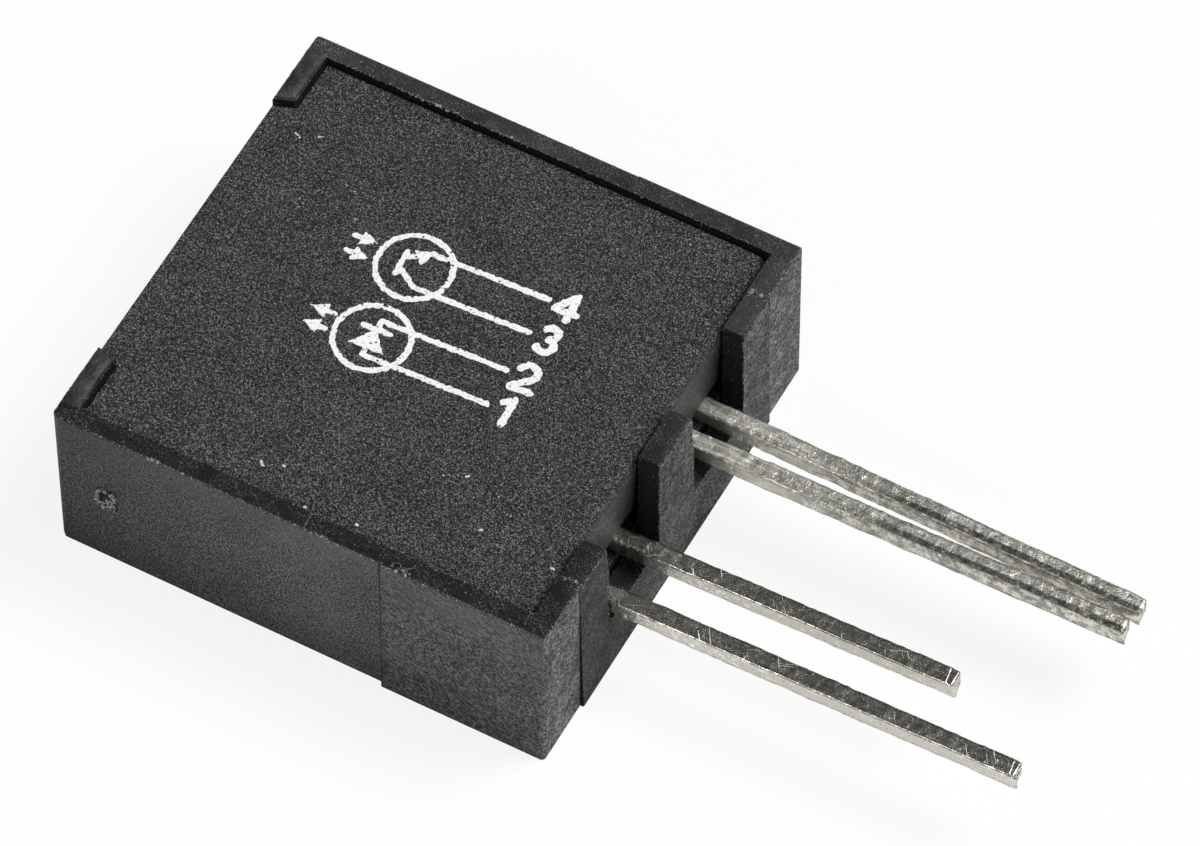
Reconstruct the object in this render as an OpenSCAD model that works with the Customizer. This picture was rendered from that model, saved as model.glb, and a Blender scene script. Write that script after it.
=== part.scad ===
// Reflective optical sensor. A moulded tray and a drop-in cover hold an infrared lamp
// and a phototransistor side by side. They look out of the sensing end (-X) and their
// square leads leave by the lead end (+X). The origin is the centre of the flat base.

/* [Housing] */
// Length of the tray along the leads
body_l = 13.7; // [13:0.1:15]
// Width of the tray across the leads
body_w = 13.15; // [12.8:0.05:14.5]
// Height of the rim above the base
body_h = 5.3; // [5.2:0.1:6.2]
// Width of the rim along the two sides
side_wall = 0.55; // [0.35:0.05:0.7]
// Width of the rim at the sensing end
front_wall = 0.56; // [0.36:0.02:0.58]
// Thickness of the wall at the lead end
rear_wall = 0.58; // [0.4:0.02:0.8]
// Thickness of the floor
floor_t = 0.6; // [0.4:0.05:0.8]
// Width of the ledges that carry the cover, inside the side walls
ledge_w = 0.35; // [0.2:0.05:0.6]
// Radius of the upright corners
corner_r = 0.2; // [0.05:0.05:0.3]
// Radius on the outer upper edge of the rim
rim_r = 0.1; // [0.04:0.02:0.16]

/* [Moulding lines] */
// Distance of the slide line on the sides from the sensing end
slide_at = 9.15; // [8:0.05:10]
// How far the sides step out behind the slide line
slide_step = 0.02; // [0.01:0.01:0.06]
// How far the sides ahead of the slide line lean in by the base
side_lean = 0.01; // [0.01:0.01:0.1]
// How far the sides behind the slide line stand out by the base
side_flare = 0.1; // [0.02:0.01:0.14]
// How far the sensing end leans in by the base
front_lean = 0.04; // [0.01:0.01:0.15]
// How far the corners of the lead end lean in by the base
rear_lean = 0.01; // [0.01:0.01:0.1]
// How far the lead end between its witness lines stands out by the base
rail_flare = 0.09; // [0.02:0.01:0.14]
// Radius of the base edge at the sensing end
front_foot_r = 0.26; // [0.1:0.02:0.3]
// Radius of the base edges along the sides and at the lead end
side_foot_r = 0.06; // [0.03:0.01:0.15]
// Distance of the lead-end witness lines from the sides
seam_in = 1.77; // [1.4:0.01:2.4]
// Width and depth of the witness lines
seam_w = 0.05; // [0.02:0.01:0.08]
// Diameter of the gate pit on the side
gate_d = 0.62; // [0.4:0.02:0.8]
// Depth of the gate pit
gate_depth = 0.1; // [0.05:0.01:0.2]
// Distance of the gate pit from the sensing end
gate_at = 1.43; // [1:0.01:3]
// Height of the gate pit above the base
gate_z = 2.6; // [1.5:0.05:3.5]

/* [Lead end] */
// Width of the middle post
post_w = 1.66; // [1.4:0.02:2]
// Width of each lead slot
slot_w = 2.67; // [2.4:0.01:2.8]
// Height of the slot floor above the base
slot_z = 1.95; // [1.4:0.05:2.1]
// How far the post tops lie below the rim
post_drop = 0.05; // [0.02:0.01:0.12]
// Radius on the tops of the posts
post_r = 0.14; // [0.05:0.01:0.2]

/* [Cover] */
// How far the cover lies below the rim
cover_drop = 0.23; // [0.1:0.01:0.35]
// Thickness of the cover plate
cover_t = 0.64; // [0.45:0.01:0.8]
// Gap between the cover and the tray, all round
cover_gap = 0.06; // [0.03:0.01:0.1]
// Length of each corner lip on the sensing face, from the side
lip_out = 2.3; // [2.1:0.01:2.5]
// Length of each corner lip on its inner face, from the side
lip_in = 2.1; // [1.8:0.01:2.1]
// Radius on the upper edge of the cover at the lead end
cover_r = 0.34; // [0.1:0.02:0.45]
// How far the cover's end face leans in by its lower edge
cover_lean = 0.15; // [0.05:0.01:0.25]
// Thickness of the cover's lip over the leads
rear_lip_t = 0.75; // [0.5:0.05:1]
// Thickness of the apron under the tongue
apron_t = 0.4; // [0.25:0.05:0.45]

/* [Lamps] */
// Diameter of the lamp body
lens_d = 3; // [2.7:0.05:3.1]
// Diameter of the lamp flange
flange_d = 3.75; // [3.5:0.05:3.9]
// Thickness of the lamp flange
flange_t = 1; // [0.7:0.05:1.3]
// Length of the lamp from its base to the tip of the dome
lamp_l = 5; // [4.6:0.1:5.4]
// Distance of the flange flat from the lamp axis
flat_at = 1.58; // [1.56:0.01:1.7]
// Distance between the two lamp axes at the sensing face
lens_pitch = 4.1; // [3.9:0.05:4.3]
// How far the dome lies behind the sensing face
lens_setback = 0.62; // [0.6:0.02:0.9]
// Angle by which each lamp turns towards the middle
toe_in = 1.5; // [0:0.25:2]
// Clearance round each lamp
lamp_gap = 0.03; // [0.02:0.01:0.05]
// Diameter of the two sensing holes
hole_d = 2.9; // [2.4:0.05:3]

/* [Ribs] */
// Thickness of the cradle ribs and of the cover's ribs
rib_t = 0.7; // [0.5:0.05:1]
// Thickness of the light barrier between the lamps
barrier_t = 0.8; // [0.5:0.05:0.9]
// Length of the bed that the leads lie on
bed_l = 0.9; // [0.5:0.05:1.2]

/* [Leads] */
// Side of the square leads
lead_t = 0.5; // [0.4:0.02:0.54]
// Distance between the two leads of a lamp at its base
lead_pitch = 1.27; // [1.2:0.01:1.35]
// Length of the emitter's anode lead beyond the lead end
anode_out = 10.95; // [5:0.05:14]
// Length of the emitter's cathode lead beyond the lead end
cathode_out = 8.45; // [5:0.05:14]
// Length of the detector's collector lead beyond the lead end
collector_out = 11.35; // [5:0.05:14]
// Length of the detector's emitter lead beyond the lead end
emitter_out = 11.45; // [5:0.05:14]
// Place of the anode lead across its slot, from the middle
anode_y = -0.975; // [-1:0.005:-0.7]
// Place of the cathode lead across its slot, from the middle
cathode_y = 0.625; // [0.3:0.005:0.8]
// Place of the collector lead across its slot, from the middle
collector_y = -0.335; // [-0.8:0.005:-0.3]
// Place of the detector's emitter lead across its slot, from the middle
emitter_y = 0.675; // [0.4:0.005:0.9]
// Sideways lean of the anode lead, in degrees
anode_lean = 1.05; // [-1:0.05:1.4]
// Sideways lean of the cathode lead, in degrees
cathode_lean = 1.4; // [-1:0.05:2]
// Sideways lean of the collector lead, in degrees
collector_lean = 0.75; // [-1:0.05:0.8]
// Sideways lean of the detector's emitter lead, in degrees
emitter_lean = -0.85; // [-0.9:0.05:2]
// Straight run of each lead behind its lamp
lead_run = 0.8; // [0.6:0.05:1]
// Straight run of each lead inside the lead end
root_run = 1.5; // [1.2:0.05:2]
// Length of the lead posts inside the lamps
post_l = 1.8; // [1.5:0.05:1.9]

/* [Chips] */
// Distance of the cup's mouth and of the pad chip's face from the lamp base
head_at = 2.8; // [2.75:0.05:3]
// Thickness of the cup and of the pad with its chip
head_t = 0.8; // [0.6:0.05:0.8]
// Width of the pad
pad_w = 0.9; // [0.7:0.05:1.1]
// Outer diameter of the reflector cup
cup_d = 1.04; // [0.9:0.02:1.1]
// Wall of the reflector cup at its mouth
cup_wall = 0.1; // [0.08:0.01:0.15]
// Depth of the reflector cup
cup_depth = 0.35; // [0.25:0.01:0.4]
// Side of the infrared chip
emitter_chip = 0.3; // [0.2:0.01:0.36]
// Side of the phototransistor chip
detector_chip = 0.5; // [0.3:0.01:0.6]
// Thickness of both chips
chip_t = 0.16; // [0.1:0.01:0.2]
// Thickness of the bond wires
wire_t = 0.04; // [0.03:0.01:0.05]
// Rise of the bond wires above the cup's mouth and the pad
wire_rise = 0.35; // [0.1:0.05:0.4]

/* [Hidden] */
$fn = 48;
// overrun of a cut past the face it opens
over = 0.4;

// the tray
front_x = -body_l / 2;
rear_x = body_l / 2;
slide_x = front_x + slide_at;
seam_y = body_w / 2 - seam_in;
room_front_x = front_x + front_wall;
room_rear_x = rear_x - rear_wall;
rim_room_w = body_w - 2 * side_wall;
room_w = rim_room_w - 2 * ledge_w;
post_z = body_h - post_drop;
post_x = rear_x + rail_flare * (post_drop + post_r) / body_h;
slot_y = (post_w + slot_w) / 2;

// the cover
cover_top = body_h - cover_drop;
cover_under = cover_top - cover_t;
cover_rear_x = room_rear_x - cover_gap;
lip_x = cover_rear_x - cover_lean - rear_lip_t;
mouth_out_y = body_w / 2 - lip_out;
mouth_in_y = body_w / 2 - lip_in;

// the lamps: each has its own frame, with its base at x = 0 and its dome towards -x
axis_z = floor_t + lamp_gap + flange_d / 2;
lamp_x = front_x + lens_setback + lamp_l;
lamp_y = lens_pitch / 2 + (lamp_x - front_x) * tan(toe_in);
lead_low = axis_z - lead_t / 2;
lead_high = axis_z + lead_t / 2;
head_back = head_at - head_t;

// the rib that cradles the lamp bodies and the rib behind their flanges
cradle_x = lamp_x - flange_t - rib_t;
stop_x = lamp_x + lamp_gap + flange_d / 2 * sin(toe_in);

// Plan of a block from x0 to x1, with its corners rounded at x1
module rounded_end_plan(x0, x1, w, r) {
  translate([x0, -w / 2]) square([x1 - x0 - r, w]);
  translate([x1 - 2 * r, -w / 2 + r]) square([2 * r, w - 2 * r]);
  for (y = [-w / 2 + r, w / 2 - r])
    translate([x1 - r, y]) circle(r);
}

// Outline from x = 0 to a wall that reaches out to x = reach at the height h, leans in by
// lean on its way down, and turns into the base with the radius r
module foot_outline(reach, h, lean, r) {
  slope = atan2(lean, h);
  cx = reach - lean * (1 - r / h) - r / cos(slope);
  polygon([
    [0, 0], [cx, 0], [cx, r],
    [cx + r * cos(slope), r - r * sin(slope)],
    [reach, h], [0, h]
  ]);
  translate([cx, r]) circle(r);
}

// The foot outline up to the rim, with the round on the rim's outer edge
module wall_outline(reach, lean, r) {
  difference() {
    foot_outline(reach, body_h, lean, r);
    translate([reach - rim_r, body_h - rim_r]) difference() {
      square(2 * rim_r);
      circle(rim_r);
    }
  }
}

// The wall outline on both sides, run along X
module walls_along_x(x0, x1, w, lean, r) {
  translate([x0, 0, 0]) rotate([90, 0, 90]) linear_extrude(x1 - x0)
    for (m = [0, 1]) mirror([m, 0]) wall_outline(w / 2, lean, r);
}

// The wall outline at the end x = reach of a block from x = from, run along Y
module wall_along_y(from, reach, lean, r) {
  translate([from, body_w / 2 + over, 0]) rotate([90, 0, 0]) linear_extrude(body_w + 2 * over)
    wall_outline(reach - from, lean, r);
}

// The tray ahead of the slide line
module front_block() {
  w = body_w - 2 * slide_step;
  mirror([1, 0, 0])
    intersection() {
      linear_extrude(body_h) rounded_end_plan(-slide_x, -front_x, w, corner_r);
      walls_along_x(-slide_x, -front_x, w, side_lean, side_foot_r);
      wall_along_y(-slide_x, -front_x, front_lean, front_foot_r);
    }
}

// The tray behind the slide line
module rear_block() {
  intersection() {
    linear_extrude(body_h) rounded_end_plan(slide_x, rear_x, body_w + 2 * side_flare, corner_r);
    walls_along_x(slide_x, rear_x, body_w, -side_flare, side_foot_r);
    wall_along_y(slide_x, rear_x, rear_lean, side_foot_r);
  }
}

// The stretch of the lead end between the witness lines, flush with the rest at the top
module slot_wall() {
  from = room_rear_x - rib_t;
  intersection() {
    translate([from, -seam_y, 0]) cube([body_l, 2 * seam_y, body_h]);
    wall_along_y(from, rear_x, -rail_flare, side_foot_r);
  }
}

// One witness line down the lead end
module seam(side) {
  translate([rear_x - seam_w, side * seam_y - (side > 0 ? 0 : seam_w), -over])
    cube([over, seam_w, body_h + 2 * over]);
}

// The room inside the tray, wider above the ledges
module tray_room() {
  l = room_rear_x - room_front_x;
  translate([room_front_x, -room_w / 2, floor_t]) cube([l, room_w, body_h]);
  translate([room_front_x, -rim_room_w / 2, cover_under]) cube([l, rim_room_w, body_h]);
}

// The open stretch between the corner lips, narrower by gap on each side
module mouth_plan(gap, reach) {
  grow = (mouth_in_y - mouth_out_y) / front_wall;
  y0 = mouth_out_y - gap - grow * over;
  y1 = mouth_out_y - gap + grow * reach;
  polygon([
    [front_x - over, -y0], [front_x + reach, -y1],
    [front_x + reach, y1], [front_x - over, y0]
  ]);
}

// What one lead slot takes out of the lead end, rounded out at the post tops
module slot_cut(side) {
  translate([room_rear_x - over, side * slot_y, 0]) rotate([90, 0, 90])
    linear_extrude(rear_wall + 2 * over) {
      translate([-slot_w / 2, slot_z]) square([slot_w, body_h]);
      for (m = [0, 1]) mirror([m, 0])
        difference() {
          translate([slot_w / 2 - over, post_z - post_r]) square([over + post_r, body_h]);
          translate([slot_w / 2 + post_r, post_z - post_r]) circle(post_r);
        }
    }
}

// What is taken off the post tops: the drop below the rim and the outer round
module post_top_cut() {
  w = 2 * (seam_y - seam_w);
  translate([room_rear_x - over, -w / 2, post_z]) cube([rear_wall + 2 * over, w, body_h]);
  translate([0, w / 2, 0]) rotate([90, 0, 0]) linear_extrude(w)
    difference() {
      translate([post_x - post_r, post_z - post_r]) square(over);
      translate([post_x - post_r, post_z - post_r]) circle(post_r);
    }
}

// Moves its children into the frame of one lamp, -1 for the emitter and 1 for the detector
module at_lamp(side) {
  translate([lamp_x, side * lamp_y, axis_z]) rotate([0, 0, side * toe_in]) children();
}

// Turns a solid made about Z so that it runs from x = 0 towards the lens
module along_lamp() {
  rotate([0, -90, 0]) children();
}

// The outer form of a lamp, grown by gap on every side
module lamp_form(side, gap) {
  difference() {
    along_lamp() translate([0, 0, -gap]) rotate_extrude() {
      square([flange_d / 2 + gap, flange_t + 2 * gap]);
      square([lens_d / 2 + gap, lamp_l - lens_d / 2 + gap]);
      intersection() {
        translate([0, lamp_l - lens_d / 2 + gap]) circle(lens_d / 2 + gap);
        square(lamp_l + 2 * gap);
      }
    }
    translate([-lamp_l, side > 0 ? -flange_d - flat_at - gap : flat_at + gap, -flange_d])
      cube([2 * lamp_l, flange_d, 2 * flange_d]);
  }
}

// The hole that a lamp looks out of
module sensing_hole(side) {
  at_lamp(side) along_lamp() translate([0, 0, lamp_l - lens_d / 2])
    cylinder(d = hole_d, h = lens_d / 2 + lens_setback + over);
}

// All that the lamps take out of the tray and the cover
module lamp_rooms() {
  for (side = [-1, 1]) {
    at_lamp(side) lamp_form(side, lamp_gap);
    sensing_hole(side);
  }
}

// A rib across the room from x, of the width w, between two heights
module rib(x, w, low, high) {
  translate([x, -w / 2, low]) cube([rib_t, w, high - low]);
}

// The ribs under the lamps, the bed of the leads and the barrier between the lamps
module tray_ribs() {
  rib(cradle_x, room_w, floor_t / 2, axis_z);
  rib(stop_x, room_w, floor_t / 2, lead_low);
  translate([lip_x, -room_w / 2, floor_t / 2]) cube([bed_l, room_w, lead_low - floor_t / 2]);
  translate([room_front_x - front_wall / 2, -barrier_t / 2, floor_t / 2])
    cube([lip_x - cover_gap - room_front_x + front_wall / 2, barrier_t, axis_z - floor_t / 2]);
  translate([room_front_x, -barrier_t / 2, floor_t / 2])
    cube([lip_x - cover_gap - room_front_x, barrier_t, cover_under - cover_gap - floor_t / 2]);
}

module housing() {
  color([0.14, 0.14, 0.15])
    difference() {
      union() {
        difference() {
          union() {
            front_block();
            rear_block();
            slot_wall();
          }
          tray_room();
          translate([0, 0, axis_z]) linear_extrude(body_h) mouth_plan(0, front_wall);
          post_top_cut();
          for (side = [-1, 1]) slot_cut(side);
        }
        tray_ribs();
      }
      for (side = [-1, 1]) seam(side);
      lamp_rooms();
      translate([front_x + gate_at, gate_depth + slide_step - body_w / 2, gate_z])
        rotate([90, 0, 0]) cylinder(d = gate_d, h = over);
    }
}

// The cover's plate and end lip, with the rounded upper edge at the lead end
module cover_shell() {
  w = rim_room_w - 2 * cover_gap;
  inner_w = room_w - 2 * cover_gap;
  low = lead_high;
  h = cover_top - low;
  intersection() {
    translate([room_front_x, w / 2, cover_top]) rotate([-90, 0, 0]) mirror([0, 0, 1])
      linear_extrude(w) foot_outline(cover_rear_x - cover_lean - room_front_x, h, -cover_lean, cover_r);
    union() {
      translate([room_front_x + cover_gap, -w / 2, cover_under]) cube([body_l, w, cover_t + over]);
      translate([lip_x, -inner_w / 2, low]) cube([body_l, inner_w, h]);
    }
  }
}

// The tongue between the corner lips and the apron under it
module tongue() {
  difference() {
    union() {
      translate([0, 0, cover_under]) linear_extrude(cover_t)
        mouth_plan(cover_gap, front_wall + 2 * cover_gap);
      translate([0, 0, axis_z + cover_gap]) linear_extrude(cover_top - axis_z - cover_gap)
        mouth_plan(cover_gap, cover_gap / 2 + apron_t);
    }
    translate([front_x + cover_gap / 2 - body_l, -body_w, 0]) cube([body_l, 2 * body_w, 2 * body_h]);
  }
}

module cover_ribs() {
  w = room_w - 2 * cover_gap;
  top = cover_under + cover_t / 2;
  rib(cradle_x, w, axis_z + cover_gap, top);
  rib(stop_x, w, lead_high + cover_gap, top);
}

module cover() {
  color([0.19, 0.19, 0.2])
    difference() {
      union() {
        cover_shell();
        tongue();
        difference() {
          cover_ribs();
          translate([front_x, -barrier_t / 2 - cover_gap, 0])
            cube([body_l, barrier_t + 2 * cover_gap, cover_under]);
        }
      }
      lamp_rooms();
    }
}

// Points of a lamp's frame in plan
function from_lamp(side, p) =
  let (a = side * toe_in)
  [lamp_x + p[0] * cos(a) - p[1] * sin(a), side * lamp_y + p[0] * sin(a) + p[1] * cos(a)];

// Plan outline of a strip of the width w along the points p, mitred at its bends
function unit(v) = v / norm(v);
function across(v) = [-v[1], v[0]];
function strip_side(p, i) =
  let (
    a = across(unit(i > 0 ? p[i] - p[i - 1] : p[1] - p[0])),
    b = across(unit(i < len(p) - 1 ? p[i + 1] - p[i] : p[i] - p[i - 1]))
  )
  (a + b) / (1 + a * b);
function strip(p, w) = concat(
  [for (i = [0 : len(p) - 1]) p[i] + strip_side(p, i) * w / 2],
  [for (i = [len(p) - 1 : -1 : 0]) p[i] - strip_side(p, i) * w / 2]
);

// A lead from its post inside the lamp to its cut end, y across the lamp and slot_at
// across the slot
module lead_strip(side, y, slot_at, lean, out) {
  root_y = side * slot_y + slot_at;
  path = [
    from_lamp(side, [-post_l, y]),
    from_lamp(side, [lead_run, y]),
    [rear_x - root_run, root_y - root_run * tan(lean)],
    [rear_x + out, root_y + out * tan(lean)]
  ];
  translate([0, 0, lead_low]) linear_extrude(lead_t) polygon(strip(path, lead_t));
}

// The arm that carries the cup or the pad from a lead post to the lamp axis
module head_arm(side) {
  y = -side * (lead_pitch / 2 + lead_t / 2);
  reach = lead_pitch / 2 + lead_t;
  translate([-head_back - chip_t, side > 0 ? y : y - reach, -lead_t / 2])
    cube([head_back + chip_t - post_l + lead_t, reach, lead_t]);
}

module emitter_anode_lead() {
  color([0.78, 0.78, 0.76])
    lead_strip(-1, -lead_pitch / 2, anode_y, anode_lean, anode_out);
}

module emitter_cathode_lead() {
  color([0.78, 0.78, 0.76]) {
    lead_strip(-1, lead_pitch / 2, cathode_y, cathode_lean, cathode_out);
    at_lamp(-1) {
      head_arm(-1);
      along_lamp() difference() {
        translate([0, 0, head_back]) cylinder(d = cup_d, h = head_t);
        translate([0, 0, head_at - cup_depth])
          cylinder(d1 = emitter_chip * sqrt(2), d2 = cup_d - 2 * cup_wall, h = cup_depth);
      }
    }
  }
}

module collector_lead() {
  color([0.78, 0.78, 0.76]) {
    lead_strip(1, -lead_pitch / 2, collector_y, collector_lean, collector_out);
    at_lamp(1) {
      head_arm(1);
      translate([-head_at + chip_t, -pad_w / 2, -pad_w / 2])
        cube([head_t - chip_t, pad_w, pad_w]);
    }
  }
}

module detector_emitter_lead() {
  color([0.78, 0.78, 0.76])
    lead_strip(1, lead_pitch / 2, emitter_y, emitter_lean, emitter_out);
}

// A chip of the side s whose back lies at x = -back
module chip(side, s, back) {
  at_lamp(side) translate([-back - chip_t, -s / 2, -s / 2]) cube([chip_t, s, s]);
}

// A bond wire from a chip face at x = -face, over a loop, to the end of the other post
module bond_wire(side, face) {
  mid = lead_pitch / 4;
  top = head_at + wire_rise;
  loop = [for (t = [0 : 30 : 180])
    [-top - mid / 2 * sin(t), side * mid * (1 - cos(t))]];
  path = concat([[-face, 0]], loop, [[-post_l, side * lead_pitch / 2]]);
  at_lamp(side) translate([0, 0, -wire_t / 2]) linear_extrude(wire_t)
    polygon(strip(path, wire_t));
}

module emitter_die() {
  color([0.25, 0.22, 0.24]) chip(-1, emitter_chip, head_at - cup_depth);
}

module emitter_bond_wire() {
  color([0.85, 0.66, 0.25]) bond_wire(-1, head_at - cup_depth + chip_t);
}

module detector_die() {
  color([0.2, 0.22, 0.3]) chip(1, detector_chip, head_at - chip_t);
}

module detector_bond_wire() {
  color([0.85, 0.66, 0.25]) bond_wire(1, head_at);
}

module emitter_lens() {
  color([0.55, 0.62, 0.78, 0.6])
    difference() {
      at_lamp(-1) lamp_form(-1, 0);
      emitter_anode_lead();
      emitter_cathode_lead();
      emitter_die();
      emitter_bond_wire();
    }
}

module detector_lens() {
  color([0.35, 0.35, 0.4, 0.6])
    difference() {
      at_lamp(1) lamp_form(1, 0);
      collector_lead();
      detector_emitter_lead();
      detector_die();
      detector_bond_wire();
    }
}

housing();
cover();
emitter_lens();
emitter_anode_lead();
emitter_cathode_lead();
emitter_die();
emitter_bond_wire();
detector_lens();
collector_lead();
detector_emitter_lead();
detector_die();
detector_bond_wire();
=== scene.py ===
# Reflective optical sensor: a black moulded tray, its textured cover and four tinned leads
import math
import bmesh
import bpy
import numpy as np
from mathutils import Matrix, Vector
from mathutils.bvhtree import BVHTree


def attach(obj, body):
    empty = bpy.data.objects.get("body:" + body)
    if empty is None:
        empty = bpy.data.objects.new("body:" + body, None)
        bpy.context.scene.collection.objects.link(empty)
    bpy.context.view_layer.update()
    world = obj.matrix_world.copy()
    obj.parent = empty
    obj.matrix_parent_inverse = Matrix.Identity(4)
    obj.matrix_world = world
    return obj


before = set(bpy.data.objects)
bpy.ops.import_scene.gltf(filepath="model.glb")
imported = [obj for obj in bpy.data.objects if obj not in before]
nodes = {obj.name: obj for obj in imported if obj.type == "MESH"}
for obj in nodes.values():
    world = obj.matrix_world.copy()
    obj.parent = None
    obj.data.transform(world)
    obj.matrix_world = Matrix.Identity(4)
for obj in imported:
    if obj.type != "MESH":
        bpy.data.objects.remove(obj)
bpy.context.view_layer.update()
mm = 0.001
print("frame loaded:", len(nodes), "solids")


# shader helpers
class Val:
    # one output socket, so that shader maths reads as Python
    def __init__(self, look, socket):
        self.look, self.socket = look, socket

    def maths(self, kind, *others, swap=False):
        terms = (*others, self) if swap else (self, *others)
        return self.look.add("ShaderNodeMath", {"operation": kind}, dict(enumerate(terms)))

    def __add__(self, other): return self.maths("ADD", other)
    def __radd__(self, other): return self.maths("ADD", other, swap=True)
    def __sub__(self, other): return self.maths("SUBTRACT", other)
    def __rsub__(self, other): return self.maths("SUBTRACT", other, swap=True)
    def __mul__(self, other): return self.maths("MULTIPLY", other)
    def __rmul__(self, other): return self.maths("MULTIPLY", other, swap=True)
    def __truediv__(self, other): return self.maths("DIVIDE", other)
    def __pow__(self, other): return self.maths("POWER", other)
    def __neg__(self): return self.maths("MULTIPLY", -1)
    def __abs__(self): return self.maths("ABSOLUTE")
    def atLeast(self, other): return self.maths("MAXIMUM", other)
    def atMost(self, other): return self.maths("MINIMUM", other)

    def fade(self, low, high):  # 0 at low, 1 at high, smooth between them
        return self.look.add("ShaderNodeMapRange", {"interpolation_type": "SMOOTHSTEP"},
                             {"Value": self, "From Min": low, "From Max": high})

    def scaled(self, factors):  # a vector times three numbers
        return self.look.add("ShaderNodeVectorMath", {"operation": "MULTIPLY"}, {0: self, 1: factors})


class Look:
    def __init__(self, name):
        self.material = bpy.data.materials.new(name)
        self.material.use_nodes = True
        self.tree = self.material.node_tree
        self.tree.nodes.clear()

    def add(self, kind, settings=None, sockets=None, out=0):
        node = self.tree.nodes.new(kind)
        for key, value in (settings or {}).items():
            if key == "stops":
                band = node.color_ramp
                while len(band.elements) < len(value):
                    band.elements.new(0.5)
                for stop, (at, shade) in zip(band.elements, value):
                    stop.position = at
                    stop.color = grey(shade)
            else:
                setattr(node, key, value)
        for key, value in (sockets or {}).items():
            if isinstance(value, Val):
                self.tree.links.new(value.socket, node.inputs[key])
            else:
                node.inputs[key].default_value = value
        return Val(self, node.outputs[out]) if len(node.outputs) else None

    def place(self):  # where the surface is, in mm
        coords = self.add("ShaderNodeTexCoord", out=3)
        return self.add("ShaderNodeVectorMath", {"operation": "SCALE"}, {0: coords, "Scale": 1000.0})

    def parts(self, vector):
        first = self.add("ShaderNodeSeparateXYZ", None, {0: vector})
        return [Val(self, out) for out in first.socket.node.outputs]

    def facing(self):  # how far the surface faces along x, y and z
        return [abs(part) for part in self.parts(self.add("ShaderNodeNewGeometry", out=1))]

    def turned(self, vector, angles):
        return self.add("ShaderNodeVectorRotate", {"rotation_type": "EULER_XYZ"},
                        {"Vector": vector, "Rotation": [math.radians(a) for a in angles]})

    def noise(self, vector, scale, detail=2.0, rough=0.5, warp=0.0):
        return self.add("ShaderNodeTexNoise", None, {"Vector": vector, "Scale": scale, "Detail": detail,
                                                     "Roughness": rough, "Distortion": warp})

    def cells(self, vector, scale, feature="F1", jitter=1.0):
        return self.add("ShaderNodeTexVoronoi", {"feature": feature},
                        {"Vector": vector, "Scale": scale, "Randomness": jitter})

    def blend(self, amount, low, high):  # low colour to high colour
        return self.add("ShaderNodeMix", {"data_type": "RGBA"},
                        {0: amount, 6: colour(low), 7: colour(high)}, out=2)

    def bump(self, height, depth, under=None):
        sockets = {"Height": height, "Distance": depth * mm, "Strength": 1.0}
        if under is not None:
            sockets["Normal"] = under
        return self.add("ShaderNodeBump", None, sockets)

    def roundEdges(self, radius):  # a normal that runs round the sharp edges
        return self.add("ShaderNodeBevel", {"samples": 6}, {"Radius": radius * mm})

    def nearEdge(self, rounded):  # 1 on the sharp edges, 0 away from them
        flat = self.add("ShaderNodeNewGeometry", out=1)
        along = self.add("ShaderNodeVectorMath", {"operation": "DOT_PRODUCT"}, {0: rounded, 1: flat}, out=1)
        return (1 - along).fade(0.002, 0.12)

    def finish(self, **sockets):
        surface = self.add("ShaderNodeBsdfPrincipled", None, {
            label.replace("_", " "): value for label, value in sockets.items()})
        self.add("ShaderNodeOutputMaterial", None, {"Surface": surface})
        return self.material


def colour(value):
    return value if isinstance(value, Val) else grey(value)


def grey(value):
    return (value, value, value, 1.0) if isinstance(value, (int, float)) else (*value[:3], 1.0)


# camera, floor and lights
cameraAt = {"azimuth": -61.163, "elevation": 55.5, "away": 235.02, "target": (4.114, 1.174, 2.65),
            "roll": -0.216, "lens": 286.83}


def placeCamera():
    azimuth, elevation = math.radians(cameraAt["azimuth"]), math.radians(cameraAt["elevation"])
    back = Vector((math.cos(elevation) * math.cos(azimuth), math.cos(elevation) * math.sin(azimuth),
                   math.sin(elevation)))
    right = Vector((0, 0, 1)).cross(back).normalized()
    up = back.cross(right)
    roll = math.radians(cameraAt["roll"])
    right, up = right * math.cos(roll) + up * math.sin(roll), up * math.cos(roll) - right * math.sin(roll)
    eye = (Vector(cameraAt["target"]) + back * cameraAt["away"]) * mm
    camera = bpy.data.objects.new("camera", bpy.data.cameras.new("camera"))
    camera.matrix_world = Matrix.Translation(eye) @ Matrix((right, up, back)).transposed().to_4x4()
    camera.data.lens, camera.data.sensor_width = cameraAt["lens"], 36
    camera.data.clip_start, camera.data.clip_end = 0.005, 20
    bpy.context.collection.objects.link(camera)
    bpy.context.scene.camera = camera


placeCamera()

floorLook = {"white": 0.92, "seen": 0.86, "mirrored": 0.15}


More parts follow.
